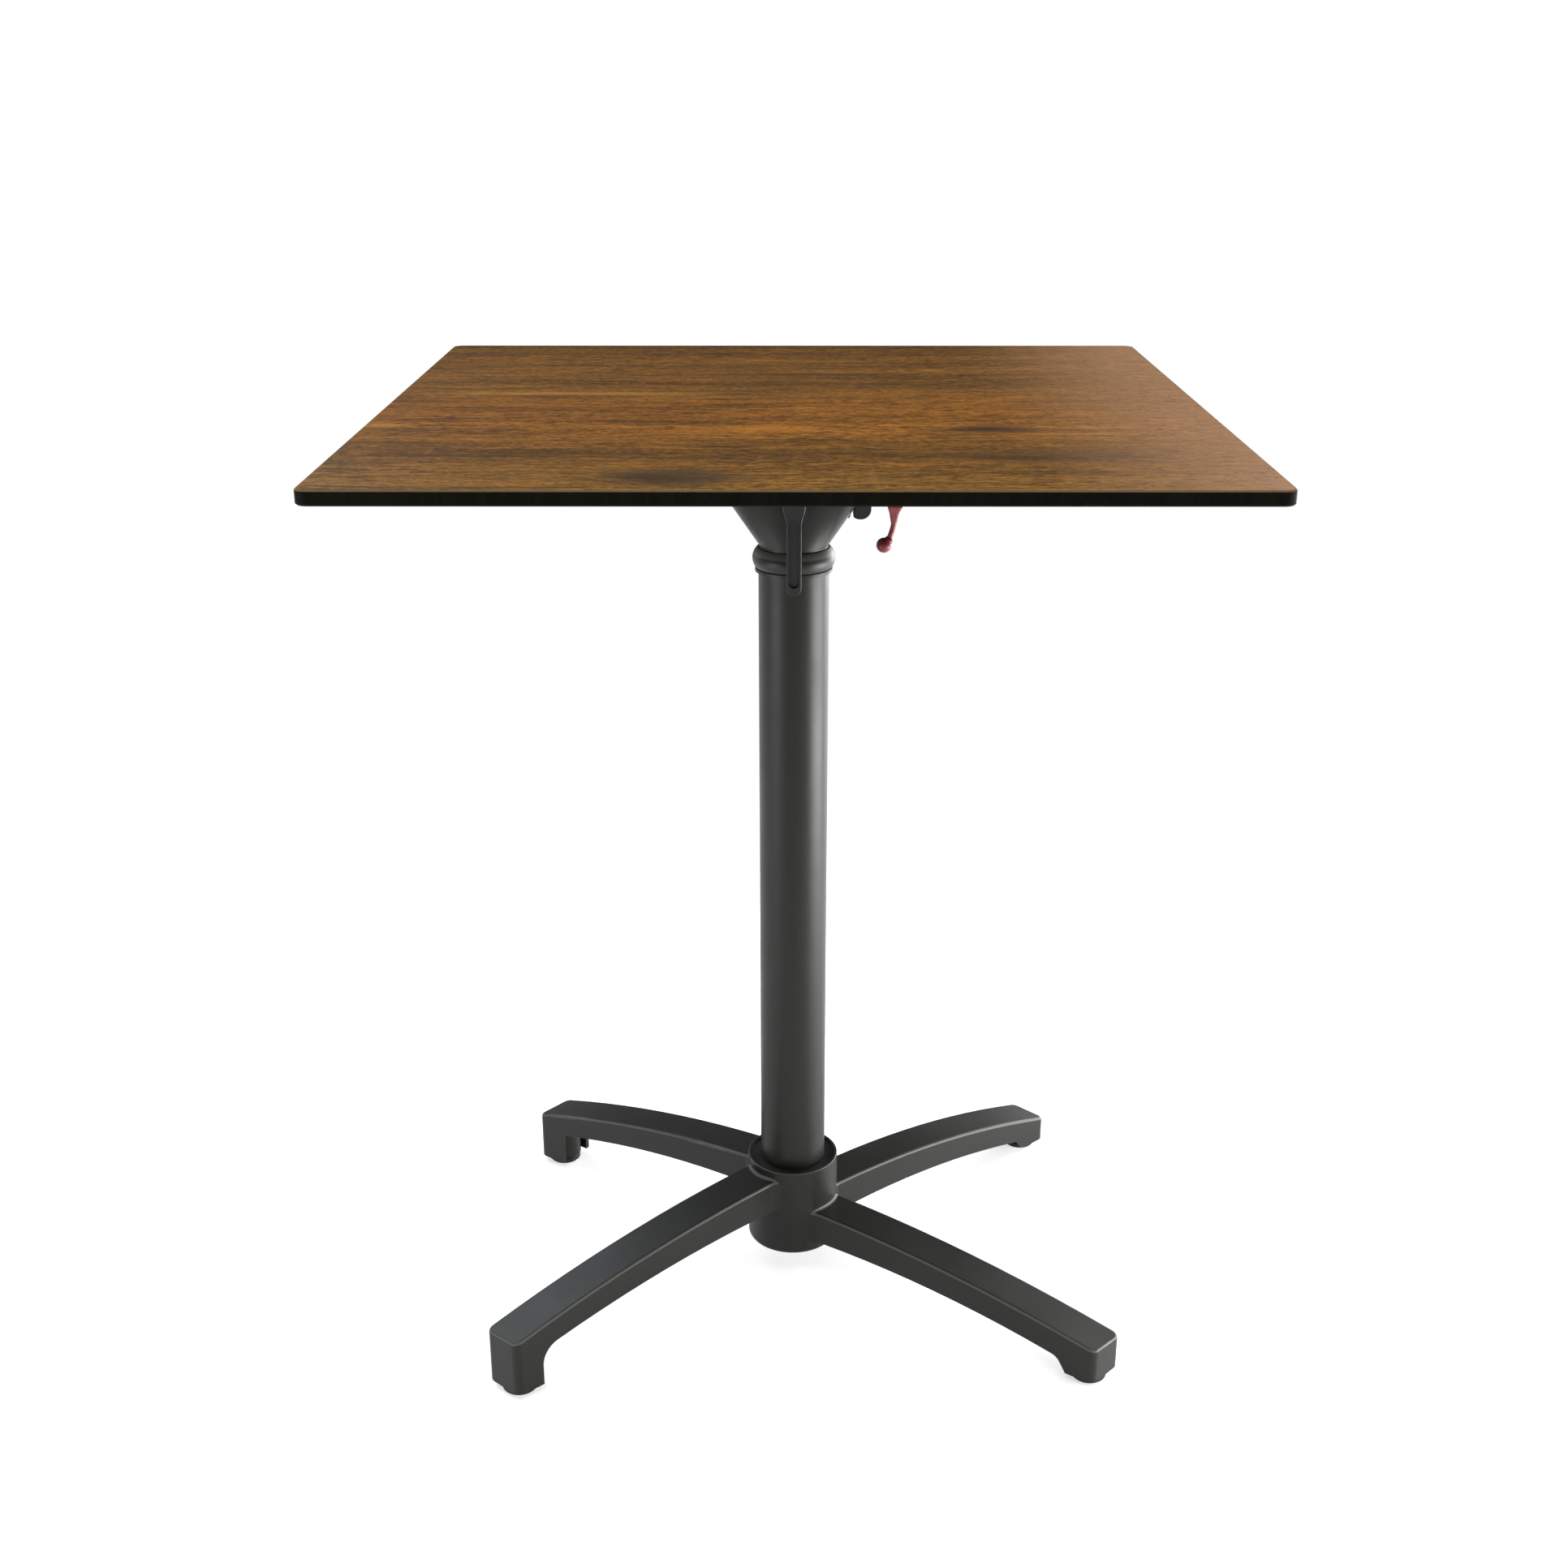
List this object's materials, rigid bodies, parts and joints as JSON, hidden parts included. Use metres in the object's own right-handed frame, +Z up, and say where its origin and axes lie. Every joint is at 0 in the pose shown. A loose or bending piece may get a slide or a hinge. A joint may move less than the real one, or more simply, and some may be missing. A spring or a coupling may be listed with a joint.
{
  "type": "tilt-top bistro table",
  "caption": "Square cafe table with a thin wood-decor laminate top that tilts on a round column, nesting four-arm base and levelling feet.",
  "frame": {"origin": "on the floor, under the axis of the column, at the centre of the overall box", "axes": "+Z up, -Y towards the front with the clamp lever, +X to the right with the red release lever"},
  "size_m": [0.6, 0.6, 0.74],
  "materials": {
    "laminate": "satin wood decor over a black core",
    "powder_coat": "fine satin anthracite powder coat",
    "black_plastic": "matt moulded",
    "lever_black": "satin moulded",
    "red_lever": "satin red",
    "seal_rubber": "matt",
    "bush_plastic": "matt",
    "zinc_steel": "bright zinc plated",
    "spring_steel": "satin wire",
    "brass": "turned"
  },
  "bodies": {
    "frame": {"base_casting": "powder_coat", "foot_inserts": "brass", "base_cap": "black_plastic", "column_tube": "powder_coat", "hub_seal_ring": "seal_rubber", "column_collar": "powder_coat", "tie_rod": "zinc_steel", "tie_rod_washer": "zinc_steel", "tie_rod_nut": "zinc_steel", "head_casting": "powder_coat", "rest_buffers": "seal_rubber", "hinge_axle": "zinc_steel", "axle_washers": "zinc_steel", "axle_cap_nut": "zinc_steel"},
    "top": {"tabletop": "laminate", "top_inserts": "brass", "top_bracket": "powder_coat", "bracket_screws": "zinc_steel", "hinge_bushes": "bush_plastic", "brake_lever_pin": "zinc_steel", "brake_spring": "spring_steel"},
    "clamp_lever": {"clamp_lever": "lever_black", "clamp_lever_insert": "zinc_steel"},
    "brake_shoe": {"brake_shoe": "black_plastic", "brake_lining": "seal_rubber", "brake_rod": "zinc_steel", "brake_rod_collar": "zinc_steel"},
    "brake_lever": {"brake_lever": "red_lever"},
    "glide_fl": {"glide_pad_fl": "black_plastic", "glide_stem_fl": "zinc_steel"},
    "glide_fr": {"glide_pad_fr": "black_plastic", "glide_stem_fr": "zinc_steel"},
    "glide_bl": {"glide_pad_bl": "black_plastic", "glide_stem_bl": "zinc_steel"},
    "glide_br": {"glide_pad_br": "black_plastic", "glide_stem_br": "zinc_steel"}
  },
  "joints": [
    {"name": "top_tilt", "type": "hinge", "parent": "frame", "child": "top", "pos_m": [0, 0, 0.672], "axis": [0, -1, 0], "range_deg": [0, 90]},
    {"name": "clamp_lever_turn", "type": "hinge", "parent": "frame", "child": "clamp_lever", "pos_m": [0, -0.042, 0.672], "axis": [0, -1, 0], "range_deg": [0, 90]},
    {"name": "brake_lever_pull", "type": "hinge", "parent": "top", "child": "brake_lever", "pos_m": [0.076, 0, 0.7], "axis": [0, -1, 0], "range_deg": [0, 8], "stiffness_Nm_per_rad": 1.63, "springref_deg": -6.93},
    {"name": "brake_shoe_slide", "type": "slide", "parent": "top", "child": "brake_shoe", "axis": [1, 0, 0], "range_m": [0, 0.0047], "deforming": ["brake_spring"]},
    {"name": "glide_screw_fl", "type": "slide", "parent": "frame", "child": "glide_fl", "axis": [0, 0, -1], "range_m": [0, 0.01]},
    {"name": "glide_screw_fr", "type": "slide", "parent": "frame", "child": "glide_fr", "axis": [0, 0, -1], "range_m": [0, 0.01]},
    {"name": "glide_screw_bl", "type": "slide", "parent": "frame", "child": "glide_bl", "axis": [0, 0, -1], "range_m": [0, 0.01]},
    {"name": "glide_screw_br", "type": "slide", "parent": "frame", "child": "glide_br", "axis": [0, 0, -1], "range_m": [0, 0.01]}
  ],
  "couplings": [
    {"joint": "brake_shoe_slide", "follows": "brake_lever_pull", "m_per_rad": 0.033}
  ]
}
